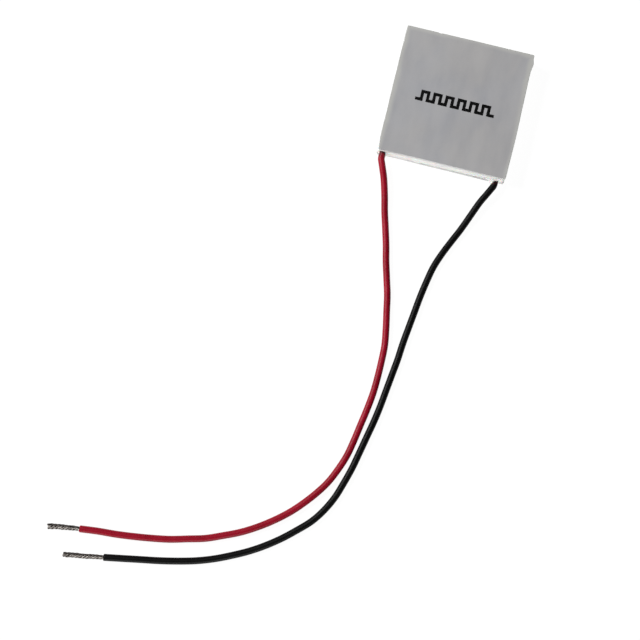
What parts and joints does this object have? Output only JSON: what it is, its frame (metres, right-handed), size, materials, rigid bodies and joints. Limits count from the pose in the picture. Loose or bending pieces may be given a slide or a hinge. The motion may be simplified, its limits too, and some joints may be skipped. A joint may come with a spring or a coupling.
{
  "type": "thermoelectric cooling module",
  "caption": "Thin square ceramic sandwich that pumps heat from its top face to its underside, edge sealed, with a red and a black flying lead stripped at the ends.",
  "frame": {"origin": "centre of the hot face, the underside on which the module lies", "axes": "+Z from the hot face to the cold face; -Y towards the edge where the leads leave; +X towards the black lead"},
  "size_m": [0.0543, 0.0906, 0.0035],
  "materials": {
    "ceramic": "matt as-fired alumina, pale grey",
    "sealant": "cured white silicone, satin",
    "copper_tab": "bright copper",
    "n_type_leg": "sawn semiconductor, dull grey",
    "p_type_leg": "sawn semiconductor, dull grey",
    "solder": "bright solder",
    "tinned_wire": "tinned copper strands, twisted",
    "red_insulation": "soft crimson insulation, low gloss",
    "black_insulation": "soft black insulation, low gloss"
  },
  "bodies": {
    "root": {"hot_plate": "ceramic", "cold_plate": "ceramic", "edge_sealant": "sealant", "hot_tabs_1": "copper_tab", "hot_tabs_2": "copper_tab", "hot_tabs_3": "copper_tab", "hot_tabs_4": "copper_tab", "hot_tabs_5": "copper_tab", "hot_tabs_6": "copper_tab", "hot_tabs_7": "copper_tab", "hot_tabs_8": "copper_tab", "cold_tabs_1": "copper_tab", "cold_tabs_2": "copper_tab", "cold_tabs_3": "copper_tab", "cold_tabs_4": "copper_tab", "cold_tabs_5": "copper_tab", "cold_tabs_6": "copper_tab", "cold_tabs_7": "copper_tab", "cold_tabs_8": "copper_tab", "n_legs_1": "n_type_leg", "n_legs_2": "n_type_leg", "n_legs_3": "n_type_leg", "n_legs_4": "n_type_leg", "n_legs_5": "n_type_leg", "n_legs_6": "n_type_leg", "n_legs_7": "n_type_leg", "n_legs_8": "n_type_leg", "p_legs_1": "p_type_leg", "p_legs_2": "p_type_leg", "p_legs_3": "p_type_leg", "p_legs_4": "p_type_leg", "p_legs_5": "p_type_leg", "p_legs_6": "p_type_leg", "p_legs_7": "p_type_leg", "p_legs_8": "p_type_leg", "hot_solder": "solder", "cold_solder": "solder", "red_joint_wire": "tinned_wire", "red_joint_solder": "solder", "red_lead": "red_insulation", "red_bare_end": "tinned_wire", "black_joint_wire": "tinned_wire", "black_joint_solder": "solder", "black_lead": "black_insulation", "black_bare_end": "tinned_wire"}
  },
  "joints": []
}
